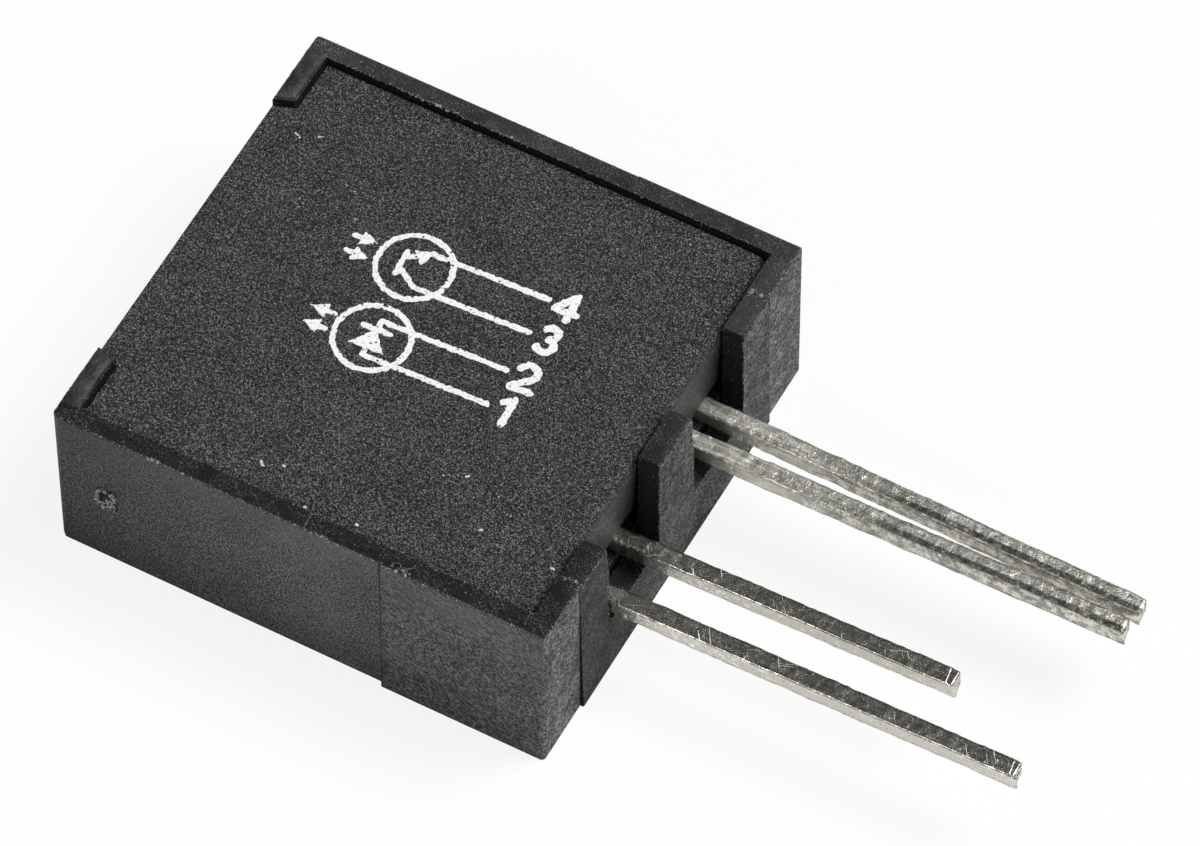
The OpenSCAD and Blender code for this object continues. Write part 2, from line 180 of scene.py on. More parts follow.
def makeFloor():
    look = Look("paper")
    path = look.add("ShaderNodeLightPath")
    seen = [Val(look, path.socket.node.outputs[name]) for name in
            ("Is Camera Ray", "Is Glossy Ray", "Is Transmission Ray")]
    lift = seen[0] * floorLook["seen"] + (seen[1] + seen[2]).atMost(1.0) * floorLook["mirrored"]
    fibre = look.noise(look.place(), 0.02, 3)
    tone = look.blend(fibre, floorLook["white"] - 0.015, floorLook["white"] + 0.015)
    paper = look.add("ShaderNodeBsdfDiffuse", None, {"Color": tone})
    glow = look.add("ShaderNodeEmission", None, {"Strength": 1.0})
    mixed = look.add("ShaderNodeMixShader", None, {0: lift, 1: paper, 2: glow})
    look.add("ShaderNodeOutputMaterial", None, {"Surface": mixed})
    turns = [math.tau * i / 64 for i in range(64)]
    ring = [(2.5 * math.cos(t), 2.5 * math.sin(t), -0.01 * mm) for t in turns]
    mesh = bpy.data.meshes.new("floor")
    mesh.from_pydata(ring, [], [list(range(64))])
    mesh.materials.append(look.material)
    floor = bpy.data.objects.new("floor", mesh)
    bpy.context.collection.objects.link(floor)


makeFloor()

# direction the light comes from as azimuth and elevation, its size and what it adds on a white face
lights = {
    "keyBox": {"from": (38, 58), "size": (0.30, 0.30), "away": 0.62, "adds": 0.95},
    "frontBox": {"from": (-104, 36), "size": (0.36, 0.14), "away": 0.62, "adds": 0.24},
    "rightBox": {"from": (-20, 24), "size": (0.30, 0.20), "away": 0.66, "adds": 0.16},
    "leftBox": {"from": (176, 30), "size": (0.26, 0.24), "away": 0.70, "adds": 0.08},
}
room = {"grey": 0.06}


def lightRoom():
    for name, box in lights.items():
        azimuth, elevation = (math.radians(a) for a in box["from"])
        way = Vector((math.cos(elevation) * math.cos(azimuth), math.cos(elevation) * math.sin(azimuth),
                      math.sin(elevation)))
        lamp = bpy.data.lights.new(name, "AREA")
        lamp.shape, lamp.size, lamp.size_y = "RECTANGLE", box["size"][0], box["size"][1]
        lamp.energy = box["adds"] * math.pi ** 2 * box["away"] ** 2
        obj = bpy.data.objects.new(name, lamp)
        obj.location = way * box["away"] + Vector((0.003, 0, 0.003))
        obj.rotation_euler = way.to_track_quat("Z", "Y").to_euler()
        bpy.context.collection.objects.link(obj)
    world = bpy.data.worlds.new("room")
    world.use_nodes = True
    world.node_tree.nodes["Background"].inputs["Color"].default_value = grey(room["grey"])
    bpy.context.scene.world = world


lightRoom()
bpy.context.scene.view_settings.view_transform = "Standard"
print("camera, floor and lights")


# solids that the frame brings
def soften(node, width, steps=3, angle=30):
    # joins the solid's facets, rounds its sharp edges and shades them smoothly
    obj = nodes[node]
    weld = obj.modifiers.new("join", "WELD")
    weld.merge_threshold = 1e-7
    flat = obj.modifiers.new("flatFaces", "DECIMATE")
    flat.decimate_type, flat.angle_limit = "DISSOLVE", math.radians(0.5)
    if width:
        edge = obj.modifiers.new("roundEdges", "BEVEL")
        edge.width, edge.segments = width * mm, steps
        edge.limit_method, edge.angle_limit = "ANGLE", math.radians(angle)
        edge.use_clamp_overlap, edge.miter_outer = False, "MITER_ARC"
        edge.harden_normals = False
    shade = obj.modifiers.new("shading", "WEIGHTED_NORMAL")
    shade.weight, shade.keep_sharp = 80, False
    return obj


slideX = -6.85 + 9.15  # where the slide of the mould left its line on the sides
# the side, end and top tones give each facing of the one black plastic its own brightness: painted light; the grain
# depths, edge radius and worn tone are its finish
trayFinishAndFacingLight = {"side": 0.165, "end": 0.42, "top": 0.11, "least": 0.004, "worn": 0.34, "edge": 0.07,
              "sideGrain": 0.07, "endGrain": 0.30, "topGrain": 0.06}


def trayPlastic():
    look = Look("trayPlastic")
    spot = look.place()
    spotX, spotY, spotZ = look.parts(spot)
    faceX, faceY, faceZ = look.facing()
    isTop, isEnd = faceZ.fade(0.6, 0.9), faceX.fade(0.6, 0.9)
    isSide = 1 - isTop.atLeast(isEnd)
    outside = abs(spotY).fade(6.2, 6.4)
    rounded = look.roundEdges(trayFinishAndFacingLight["edge"])
    rim = look.nearEdge(rounded)
    cloud = look.noise(spot, 0.55, 4, 0.6).fade(0.3, 0.7)
    fine = look.noise(spot, 20, 1, 0.5)
    # the grain of the mould: fine slanting lines on the sides that fade out towards the rim
    drawn = look.noise(look.turned(spot, (0, -38, 0)).scaled((0.55, 1, 1.4)), 16, 2, 0.6)
    drawn = fine + (drawn - fine) * (0.35 + spotX.fade(slideX - 0.3, slideX) * 0.25)
    patch = look.noise(spot, 1.3, 3, 0.6)
    strong = (1 - spotZ.fade(2.6, 5.2) * 0.6) * (0.8 + patch.fade(0.38, 0.62) * 0.5)
    bold = 1.35 * (1.9 - spotX.fade(-7.5, 0.5) * 0.9)
    sideShade = 0.48 + (drawn.fade(0.39, 0.63) - 0.5) * strong * bold + (cloud - 0.5) * 0.2
    # the side tone is then darkened towards the sensing end and towards the floor: painted shade
    sideShade = sideShade * (0.42 + spotX.fade(-7.5, 0.5) * 0.62) * (0.72 + spotZ.fade(0.0, 3.0) * 0.33)
    # the lead end is darker between the witness lines, the more so on the -Y side
    insert = abs(spotY).fade(4.76, 4.80).atLeast(0.30 + spotY.fade(-3.4, 1.0) * 0.38).atLeast(1 - spotX.fade(-1.0, 1.0))
    mark = (1 - abs(spotX - slideX).fade(0.022, 0.052)) * outside * isSide
    bare = (1 - abs(spotX - slideX).fade(0.08, 0.14)) * outside * isSide
    # and a leathery hide on the lead end
    hide = look.noise(look.turned(spot, (38, 0, 0)).scaled((1, 0.8, 1.3)), 11, 3, 0.7, 0.2)
    blotch = look.noise(spot, 2.0, 4, 0.65, 0.3).fade(0.34, 0.68)
    seam = (1 - abs(abs(spotY) - 4.78).fade(0.010, 0.035)) * isEnd * patch.fade(0.40, 0.55) * spotX.fade(-1.0, 1.0)
    lead = abs(spotX).fade(6.65, 6.75)
    pores = look.cells(look.turned(spot, (38, 0, 0)).scaled((1, 0.8, 1.3)), 7).fade(0.1, 0.6)
    # end-facing walls inside the tray, away from the outer ends, are held near black: painted shade
    endShade = (0.42 + blotch * 0.62) * (hide.fade(0.39, 0.63) * 0.90 + pores * 0.15) * (0.05 + lead * 0.95)
    scuffs = look.noise(look.turned(spot, (0, 0, 38)).scaled((0.14, 2.2, 1)), 9, 3, 0.6)
    grit = look.noise(spot, 24, 1, 0.6)
    topShade = grit.fade(0.46, 0.72) ** 1.6 * (0.15 + patch.fade(0.36, 0.64) * 1.2) + scuffs.fade(0.56, 0.72) * 0.25
    topShade = topShade + spotY.fade(-4.0, 5.5) * (0.16 + cloud * 0.22)
    dust = look.noise(spot, 15, 1, 0.5).fade(0.735, 0.77)
    # y-facing walls inside the tray and its slots are held near black as well: painted shade
    tone = (isSide * sideShade * trayFinishAndFacingLight["side"] * (0.06 + outside * 0.94) * (1 - mark)
            + isEnd * endShade * trayFinishAndFacingLight["end"] * insert * (1 - seam * 0.75) + isTop * topShade * trayFinishAndFacingLight["top"]).atLeast(trayFinishAndFacingLight["least"])
    height = (isSide * trayFinishAndFacingLight["sideGrain"] * drawn * strong + isEnd * trayFinishAndFacingLight["endGrain"] * (hide + pores * 0.15)
              + isTop * trayFinishAndFacingLight["topGrain"] * (fine + scuffs))
    tone = look.blend(dust * 0.7 + rim * grit.fade(0.50, 0.64) * 0.75 * (1 - bare), tone, trayFinishAndFacingLight["worn"])
    gloss = 0.42 + fine * 0.14 + isTop * 0.04 + isSide * (1 - outside) * 0.35 + isEnd * (0.15 + (1 - lead) * 0.3)
    return look.finish(Base_Color=tone, Roughness=gloss, IOR=1.45, Specular_IOR_Level=0.34,
                       Normal=look.bump(height, 1.0, rounded))


# the cover's grain in colour: dark pits and bluish light specks, the light specks partly painted glints over the bump
coverFinishAndGlints = {"pit": (0.003, 0.003, 0.0035), "speckGlint": (0.40, 0.402, 0.421), "grain": 0.16, "edge": 0.05}


def coverPlastic():
    look = Look("coverPlastic")
    spot = look.place()
    faceX, faceY, faceZ = look.facing()
    blasted = faceZ.fade(0.30, 0.85)  # the end face and its rounded edge are smoother
    grit = look.noise(spot, 12, 2, 0.6)
    speck = look.noise(spot, 25, 1, 0.6) * 0.55 + look.noise(look.turned(spot, (20, 0, 30)), 40, 1, 0.6) * 0.45
    cloud = look.noise(spot, 0.8, 3)
    rough = (speck * 0.8 + grit * 0.2 + cloud * 0.04 + 0.01).fade(0.43, 0.70)
    tone = look.blend(rough ** 2.2 * (0.55 + blasted * 0.45), coverFinishAndGlints["pit"], coverFinishAndGlints["speckGlint"])
    height = (speck * 0.6 + grit) * (0.6 + blasted * 0.4)
    normal = look.bump(height, coverFinishAndGlints["grain"], look.roundEdges(coverFinishAndGlints["edge"]))
    return look.finish(Base_Color=tone, Roughness=0.64 - (1 - blasted) * 0.08, IOR=1.44, Normal=normal)


# the four leads outside the tray: middle line at the lead end, lean in degrees, length, and finish
leads = {
    "emitter_anode_lead": {"y": -3.14, "lean": 1.05, "out": 10.95, "dull": 0.0, "tip": (0.20, 0.75, 0.10), "seed": 41},
    "emitter_cathode_lead": {"y": -1.54, "lean": 1.40, "out": 8.45, "dull": 0.0, "tip": (0.24, 0.55, -0.14), "seed": 52},
    "collector_lead": {"y": 1.83, "lean": 0.75, "out": 11.35, "dull": 1.0, "tip": (0.10, 0.40, 0.04), "seed": 63},
    "detector_emitter_lead": {"y": 2.84, "lean": -0.85, "out": 11.45, "dull": 1.0, "tip": (0.12, 0.35, 0.06), "seed": 74},
}
leadPlan = {"start": 6.85, "z": 2.505, "half": 0.25, "round": 0.075, "from": -0.9}


def tinSkin(name, lead):
    look = Look(name)
    spot = look.place()
    spotX, spotY, spotZ = look.parts(spot)
    dull = lead["dull"]
    across = spotY - ((spotX - leadPlan["start"]) * math.tan(math.radians(lead["lean"])) + lead["y"])
    onTop = (spotZ - leadPlan["z"]).fade(0.17, 0.24)
    mottle = look.noise(spot, 6.5 - 2.5 * dull, 5, 0.66)
    drawn = look.noise(spot.scaled((0.22, 3.0, 3.0)), 4.5, 4, 0.6)
    grit = look.noise(spot, 22, 1, 0.5)
    hairs = look.noise(look.turned(spot, (0, 0, 57)).scaled((0.22, 6.5, 1.0)), 5.0, 1, 0.5).fade(0.715, 0.745)
    hairs = hairs.atLeast(look.noise(look.turned(spot, (0, 0, -24)).scaled((0.2, 7.5, 1.0)), 4.0, 1, 0.5).fade(0.735, 0.76))
    hairs = hairs * (1 - 0.85 * dull)
    pits = look.noise(spot, 17, 2, 0.6).fade(0.64, 0.70)
    worn = (mottle * 0.6 + drawn * 0.3 + grit * 0.25 - 0.08 - spotX.fade(7.5, 13.0) * 0.05 * (1 - dull)).fade(0.38, 0.60)
    # near the tray the dull leads are lightened in colour: painted highlight, with a slightly smoother tin
    freshTinAndHighlight = (1 - spotX.fade(8.0, 11.5)) * dull
    # the flanks and underside are lifted to a lighter tone than the top: painted light
    worn = worn.atLeast((1 - onTop) * (0.55 - 0.35 * dull)).atLeast(freshTinAndHighlight * (drawn * 1.3 + mottle * 0.6 - 0.15).atMost(1.0))
    band = (1 - abs(across + 0.14).fade(0.05, 0.13)) * onTop * spotX.fade(9.5, 12.5) * mottle.fade(0.34, 0.50) * dull
    under = (1 - onTop) * (1 - (spotZ - 2.33).fade(-0.05, 0.10)) * grit.fade(0.45, 0.62)
    # light streaks on the tops near the tray, made less metallic so that they show: painted highlight
    highlightStreak = freshTinAndHighlight * drawn.fade(0.46, 0.58) * onTop
    low, high = (0.27, 0.264, 0.240), (0.96, 0.930, 0.820)
    if dull:
        low, high = (0.22, 0.217, 0.195), (0.88, 0.860, 0.765)
    tone = look.blend(worn, low, high)
    tone = look.blend((pits * 0.6 + under * 0.55 + band * 0.85).atMost(0.92), tone, 0.035)
    tone = look.blend(hairs * onTop * 0.9, tone, (0.95, 0.94, 0.90))
    gloss = 0.15 + 0.13 * dull - freshTinAndHighlight * 0.02 + drawn * 0.10 + (1 - worn) * (0.10 + 0.12 * dull) + hairs * onTop * 0.3
    height = mottle * 0.9 + drawn * 0.7 + grit * 0.35 - pits * 0.6 + hairs * 0.5
    return look.finish(Base_Color=tone, Metallic=1.0 - hairs * onTop * 0.35 - highlightStreak * 0.3, Roughness=gloss,
                       Normal=look.bump(height, 0.010 + 0.012 * dull))


def epoxy(name, tint):
    look = Look(name)
    swirl = look.noise(look.place(), 1.5, 2)
    return look.finish(Base_Color=look.blend(swirl, [c * 0.94 for c in tint], tint), Roughness=0.06 + swirl * 0.04,
                       IOR=1.53, Transmission_Weight=1.0, Normal=look.bump(swirl, 0.01))


def chipLook():
    look = Look("chip")
    grid = look.noise(look.place(), 9, 2)
    return look.finish(Base_Color=look.blend(grid, (0.03, 0.028, 0.032), (0.08, 0.07, 0.09)),
                       Roughness=0.2 + grid * 0.1)


def gold():
    look = Look("goldWire")
    drawn = look.noise(look.place(), 20, 2)
    return look.finish(Base_Color=look.blend(drawn, (0.8, 0.52, 0.18), (0.95, 0.68, 0.28)), Metallic=1.0,
                       Roughness=0.18 + drawn * 0.1)


for name, lead in leads.items():
    soften(name, 0.07, 4)
    nodes[name].data.materials.clear()
    nodes[name].data.materials.append(tinSkin(name + "Skin", lead))
for name, material in (("housing", trayPlastic()), ("cover", coverPlastic()),
                       ("emitter_lens", epoxy("clearEpoxy", (0.86, 0.9, 0.97))),
                       ("detector_lens", epoxy("tintedEpoxy", (0.2, 0.2, 0.24))),
                       ("emitter_die", chipLook()), ("detector_die", chipLook()),
                       ("emitter_bond_wire", gold()), ("detector_bond_wire", gold())):
    nodes[name].data.materials.clear()
    nodes[name].data.materials.append(material)
print("solids dressed")


def grain(u, v, size, seed):
    # smooth seeded noise over a plane, from -1 to 1
    table = np.random.default_rng(seed).uniform(-1, 1, (61, 61))
    a, b = np.asarray(u) / size, np.asarray(v) / size
    i, j = np.floor(a).astype(int), np.floor(b).astype(int)
    s, t = a - i, b - j
    s, t = s * s * (3 - 2 * s), t * t * (3 - 2 * t)
    rows = [table[(i + k) % 61, (j + m) % 61] for k in (0, 1) for m in (0, 1)]
    return (rows[0] * (1 - s) + rows[2] * s) * (1 - t) + (rows[1] * (1 - s) + rows[3] * s) * t


def piece(name, points, faces, material, slot, sharp=40):
    mesh = bpy.data.meshes.new(name)
    mesh.from_pydata([tuple(float(c) * mm for c in p) for p in points], [], faces)
    mesh.validate()
    mesh.shade_smooth()
    mesh.set_sharp_from_angle(angle=math.radians(sharp))
    mesh.materials.append(material)
    obj = bpy.data.objects.new(name, mesh)
    bpy.context.collection.objects.link(obj)
    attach(obj, "root")
    return obj


def sheet(field, span, step, lift, sink, put):
    # a thin closed sheet over the part of a plane where field(u, v) is above 0. lift gives the
    # height of its top and sink that of its underside. put takes (u, v, height) to a place in mm
    us, vs = (np.arange(low, high + step, step) for low, high in span)
    gridU, gridV = np.meshgrid(us, vs, indexing="ij")
    height = field(gridU, gridV)
    inside = height > 0
    number, spots, tops = {}, [], []

    def spot(a, b):  # a grid corner, or where the outline crosses from one corner to the next
        key = (a, a) if a == b else (min(a, b), max(a, b))
        if key not in number:
            number[key] = len(spots)
            (i, j), (k, m) = key
            t = 0.0 if a == b else min(max(height[i, j] / (height[i, j] - height[k, m]), 0.02), 0.98)
            spots.append((us[i] + (us[k] - us[i]) * t, vs[j] + (vs[m] - vs[j]) * t))
        return number[key]

    used = inside[:-1, :-1] | inside[1:, :-1] | inside[:-1, 1:] | inside[1:, 1:]
    for i, j in zip(*np.nonzero(used)):
        ring = [(int(i), int(j)), (int(i) + 1, int(j)), (int(i) + 1, int(j) + 1), (int(i), int(j) + 1)]
        outline = []
        for a, b in zip(ring, ring[1:] + ring[:1]):
            if inside[a]:
                outline.append(spot(a, a))
            if inside[a] != inside[b]:
                outline.append(spot(a, b))
        tops.append(outline)
    spots = np.array(spots)
    count = len(spots)
    upper, lower = lift(spots[:, 0], spots[:, 1]), np.full(count, sink)
    points = [put(*p) for p in np.column_stack((np.vstack((spots, spots)), np.concatenate((upper, lower))))]
    edges = {(a, b) for face in tops for a, b in zip(face, face[1:] + face[:1])}
    walls = [(b, a, a + count, b + count) for a, b in edges if (b, a) not in edges]
    return points, tops + [tuple(k + count for k in reversed(face)) for face in tops] + walls


def gather(parts):
    # several lists of points and faces as one
    points, faces = [], []
    for partPoints, partFaces in parts:
        faces += [tuple(k + len(points) for k in face) for face in partFaces]
        points += list(partPoints)
    return points, faces


def ballTemplate(steps):
    ball = bmesh.new()
    bmesh.ops.create_icosphere(ball, subdivisions=steps, radius=1.0)
    points = np.array([v.co[:] for v in ball.verts])
    faces = [tuple(v.index for v in face.verts) for face in ball.faces]
    ball.free()
    return points, faces


coarseBall, fineBall = ballTemplate(1), ballTemplate(2)


def lump(at, size, rng, fine=False):
    # a torn crumb: a ball pushed in and out, at a place in mm and with three half sizes
    points, faces = fineBall if fine else coarseBall
    way = rng.normal(size=(3, 3))
    rough = 1 + 0.28 * np.sin(points @ way.T * 1.9 + rng.uniform(0, 6, 3)).sum(1) / 1.7
    turn = Matrix.Rotation(rng.uniform(0, math.tau), 3, "Z")
    return (points * rough[:, None] * np.asarray(size)) @ np.array(turn).T + np.asarray(at), faces


def strand(path, radius, rng, sides=6):
    # a thin ragged thread along a path in mm
    path = np.array(path, float)
    count = len(path)
    ahead = np.gradient(path, axis=0)
    ahead /= np.linalg.norm(ahead, axis=1)[:, None]
    across = np.cross(ahead, (0.05, 0.1, 1.0))
    across /= np.linalg.norm(across, axis=1)[:, None]
    above = np.cross(across, ahead)
    points, faces = [], []
    for k in range(count):
        thick = radius * (0.15 if k in (0, count - 1) else 1.0) * rng.uniform(0.45, 1.3)
        for m in range(sides):
            t = math.tau * m / sides
            points.append(path[k] + (across[k] * math.cos(t) + above[k] * math.sin(t)) * thick)
    for k in range(count - 1):
        for m in range(sides):
            n = (m + 1) % sides
            faces.append((k * sides + m, k * sides + n, (k + 1) * sides + n, (k + 1) * sides + m))
    faces += [tuple(reversed(range(sides))), tuple((count - 1) * sides + m for m in range(sides))]
    return points, faces


def squareRing(half, radius, steps=5, sides=7):
    # points round a rounded square from the middle of its underside, with their outward ways
    ring = []
    for quarter in range(4):
        turn = math.radians(90 * quarter - 90)
        flat = half - radius
        for k in range(sides):
            ring.append((turn, half, flat * (2 * (k + 0.5) / sides - 1), turn))
        for k in range(1, steps):
            bend = math.radians(90 * k / steps)
            ring.append((turn, flat + radius * math.cos(bend), flat + radius * math.sin(bend), turn + bend))
    places = [(a * math.cos(t) - b * math.sin(t), a * math.sin(t) + b * math.cos(t)) for t, a, b, _ in ring]
    ways = [(math.cos(w), math.sin(w)) for _, _, _, w in ring]
    return np.array(places), np.array(ways)


def tinCoat(name, lead):
    # the solder-dipped skin of one lead, wavy, with beaded edges and its own sheared tip
    half = leadPlan["half"]
    places, ways = squareRing(half, leadPlan["round"])
    count = len(places)
    around = np.cumsum(np.hypot(*(places - np.roll(places, 1, axis=0)).T))
    corner = np.abs(ways[:, 0] * ways[:, 1]) * 2
    facet, slope, skew = lead["tip"]
    runs = np.concatenate((np.arange(leadPlan["from"], lead["out"] - 0.36, 0.032),
                           np.linspace(lead["out"] - 0.36, lead["out"] + 0.015, 26)))
    along, q = np.meshgrid(runs, around, indexing="ij")
    seed = lead["seed"]
    swell = (0.008 + grain(along, q, 0.60, seed) * (0.007 + 0.006 * lead["dull"]) + grain(along, q, 0.19, seed + 1) * 0.005
             + grain(along, q, 0.075, seed + 2) * (0.0022 + 0.0016 * lead["dull"]))
    beads = np.clip(grain(along, q * 0.4, 0.16, seed + 3), 0, 1) * 0.016 + np.clip(grain(along, q * 0.4, 0.5, seed + 4), 0, 1) * 0.012
    swell = swell + corner[None, :] * beads
    y = places[:, 0] + ways[:, 0] * swell
    z = places[:, 1] + ways[:, 1] * swell
    end = np.clip((along - lead["out"] + 0.11) / 0.125, 0, 1)
    shrink = 1 - 0.30 * (1 - np.sqrt(1 - end ** 2))
    y, z = y * shrink, z * shrink
    cut = half + 0.02 - np.clip(along - (lead["out"] - facet) + y * 0.12, 0, 1) * slope
    z = np.minimum(z, cut + grain(along, q, 0.05, seed + 5) * 0.006)
    last = np.clip((along - lead["out"] + 0.30) / 0.30, 0, 1)
    x = leadPlan["start"] + along + last * (z * skew - y * 0.10)
    burr = last ** 3 * np.exp(-(np.hypot(y + half, z + half) / 0.10) ** 2)
    x, z = x + burr * 0.09 * (1 + grain(along, q, 0.05, seed + 6)), z - burr * 0.03
    middle = lead["y"] + along * math.tan(math.radians(lead["lean"]))
    points = np.column_stack((x.ravel(), (middle + y).ravel(), (leadPlan["z"] + z).ravel()))
    faces = []
    for k in range(len(runs) - 1):
        for m in range(count):
            n = (m + 1) % count
            faces.append((k * count + m, k * count + n, (k + 1) * count + n, (k + 1) * count + m))
    top = (len(runs) - 1) * count
    tip = points[top:].mean(axis=0) + (0.012, 0, 0)
    inner = tip + (points[top:] - tip) * 0.55 + np.random.default_rng(seed).normal(size=(count, 3)) * (0.007, 0.004, 0.004)
    points = np.vstack((points, inner, tip))
    faces += [(top + m, top + (m + 1) % count, top + count + (m + 1) % count, top + count + m) for m in range(count)]
    faces += [(top + count + m, top + count + (m + 1) % count, len(points) - 1) for m in range(count)]
    faces.append(tuple(reversed(range(count))))
    piece(name.replace("_lead", "_tin_coat"), points, faces, nodes[name].data.materials[0], "tinned_lead", sharp=50)


for name, lead in leads.items():
    tinCoat(name, lead)
print("tin on the leads")


# the white print on the cover: a plain pin diagram with a lamp, a light switch and four numbers
printPlan = {"top": 5.07, "thick": 0.012, "middle": (0.0, 0.5), "turn": 3.0, "step": 0.026,
             "line": 0.10, "thin": 0.075, "ragged": 0.022, "holes": 900}


def arc(x, y, radius, start, end, steps=10):
    turns = np.radians(np.linspace(start, end, steps))
    return [(x + radius * math.cos(t), y + radius * math.sin(t)) for t in turns]


def printDrawing():
    line, thin = printPlan["line"], printPlan["thin"]
    rows = (-1.72, -0.62, 0.62, 1.72)
    digits = ([[(-0.14, 0.19), (0.05, 0.33), (0.05, -0.33)]],
              [arc(0, 0.13, 0.20, 160, -35) + [(-0.22, -0.33), (0.24, -0.33)]],
              [arc(0, 0.165, 0.165, 150, -80) + arc(0, -0.15, 0.19, 80, -150)],
              [[(0.12, -0.33), (0.12, 0.33), (-0.24, -0.14), (0.26, -0.14)]])
    strokes = [(line, [(x * 1.15 + 2.66, y * 1.15 + row) for x, y in points])
               for row, digit in zip(rows, digits) for points in digit]
    strokes += [(thin, arc(-1.25, side * 1.17, 0.97, 0, 360, 33)) for side in (-1, 1)]
    # the lamp between lines 1 and 2, and the light switch between lines 3 and 4
    strokes += [(thin, [(2.15, rows[0]), (-1.25, rows[0]), (-1.25, -1.45)]),
                (thin, [(2.15, rows[1]), (-1.25, rows[1]), (-1.25, -0.90)]),
                (thin, [(-1.62, -0.90), (-0.88, -0.90)]),
                (thin, [(-1.60, 0.82), (-1.60, 1.52)]),
                (thin, [(-1.60, 1.02), (-1.00, rows[2]), (2.15, rows[2])]),
                (thin, [(-1.60, 1.32), (-1.00, rows[3]), (2.15, rows[3])])]
    solids = [[(-1.66, -1.48), (-0.84, -1.48), (-1.25, -0.92)], [(-1.00, 1.74), (-1.40, 1.62), (-1.16, 1.34)]]
    for tail, head in (((-2.40, -1.42), (-2.80, -1.42)), ((-2.40, -0.92), (-2.80, -0.92)),
                       ((-3.00, 1.42), (-2.60, 1.42)), ((-3.00, 0.92), (-2.60, 0.92))):
        way = Vector(head) - Vector(tail)
        way.normalize()
        side, tip = Vector((-way.y, way.x)), Vector(head) + way * 0.16
        strokes.append((thin, [tail, head]))
        solids.append([tuple(tip), tuple(tip - way * 0.34 - side * 0.17), tuple(tip - way * 0.34 + side * 0.17)])
    return strokes, solids


def printOnCover():
    strokes, solids = printDrawing()
    rng = np.random.default_rng(11)
    holes = np.column_stack((rng.uniform(-3.2, 3.3, printPlan["holes"]), rng.uniform(-2.4, 2.4, printPlan["holes"]),
                             0.012 + 0.022 * rng.random(printPlan["holes"]) ** 2))

    def inked(u, v):
        away = np.full(u.shape, 9.0)
        for half, points in strokes:
            for (x0, y0), (x1, y1) in zip(points, points[1:]):
                dx, dy = x1 - x0, y1 - y0
                t = np.clip(((u - x0) * dx + (v - y0) * dy) / (dx * dx + dy * dy), 0, 1)
                away = np.minimum(away, np.hypot(u - x0 - t * dx, v - y0 - t * dy) - half)
        for corners in solids:
            ring = list(zip(corners, corners[1:] + corners[:1]))
            turn = sum(x0 * y1 - x1 * y0 for (x0, y0), (x1, y1) in ring)
            edge = [((v - y0) * (x1 - x0) - (u - x0) * (y1 - y0)) / math.hypot(x1 - x0, y1 - y0)
                    for (x0, y0), (x1, y1) in ring]
            away = np.minimum(away, np.max([-e * math.copysign(1, turn) for e in edge], axis=0) - 0.03)
        field = grain(u, v, 0.085, 1) * printPlan["ragged"] + grain(u, v, 0.045, 2) * printPlan["ragged"] * 0.5 - away
        for x, y, radius in holes:
            field = np.minimum(field, np.hypot(u - x, v - y) - radius)
        return field

    turn = math.radians(printPlan["turn"])
    midX, midY = printPlan["middle"]

    def put(u, v, height):
        return (midX + u * math.cos(turn) - v * math.sin(turn), midY + u * math.sin(turn) + v * math.cos(turn),
                printPlan["top"] + height)

    def top(u, v):
        return printPlan["thick"] * (1 + grain(u, v, 0.07, 3) * 0.35)

    look = Look("whiteInk")
    spot = look.place()
    pits = look.noise(spot, 12, 2, 0.6).fade(0.52, 0.66)
    thinInk = look.noise(spot, 2.2, 3).fade(0.5, 0.8)
    tone = look.blend(pits * 0.55 + thinInk * 0.12, (0.93, 0.935, 0.94), (0.42, 0.45, 0.50))
    ink = look.finish(Base_Color=tone, Roughness=0.55 + pits * 0.2, Normal=look.bump(look.noise(spot, 16, 2), 0.02))
    span = ((-3.2, 3.3), (-2.4, 2.4))
    piece("coverPrint", *sheet(inked, span, printPlan["step"], top, -0.02, put), ink, "cover_plastic")


printOnCover()
print("cover print")


def tornLook(name, low, high):
    look = Look(name)
    spot = look.place()
    shade = look.noise(spot, 9, 3, 0.6).fade(0.32, 0.68)
    return look.finish(Base_Color=look.blend(shade, low, high), Roughness=0.45 + shade * 0.2, IOR=1.45,
                       Normal=look.bump(look.noise(spot, 26, 2), 0.03))


def skinOf(name):
    mesh = nodes[name].data
    return BVHTree.FromPolygons([v.co / mm for v in mesh.vertices], [tuple(f.vertices) for f in mesh.polygons])


def seat(skin, at, lift=0.0):
    # the nearest place on a solid's skin, raised a little along its way out
    place, way, _, _ = skin.find_nearest(Vector(at))
    return np.array(place + way * lift)


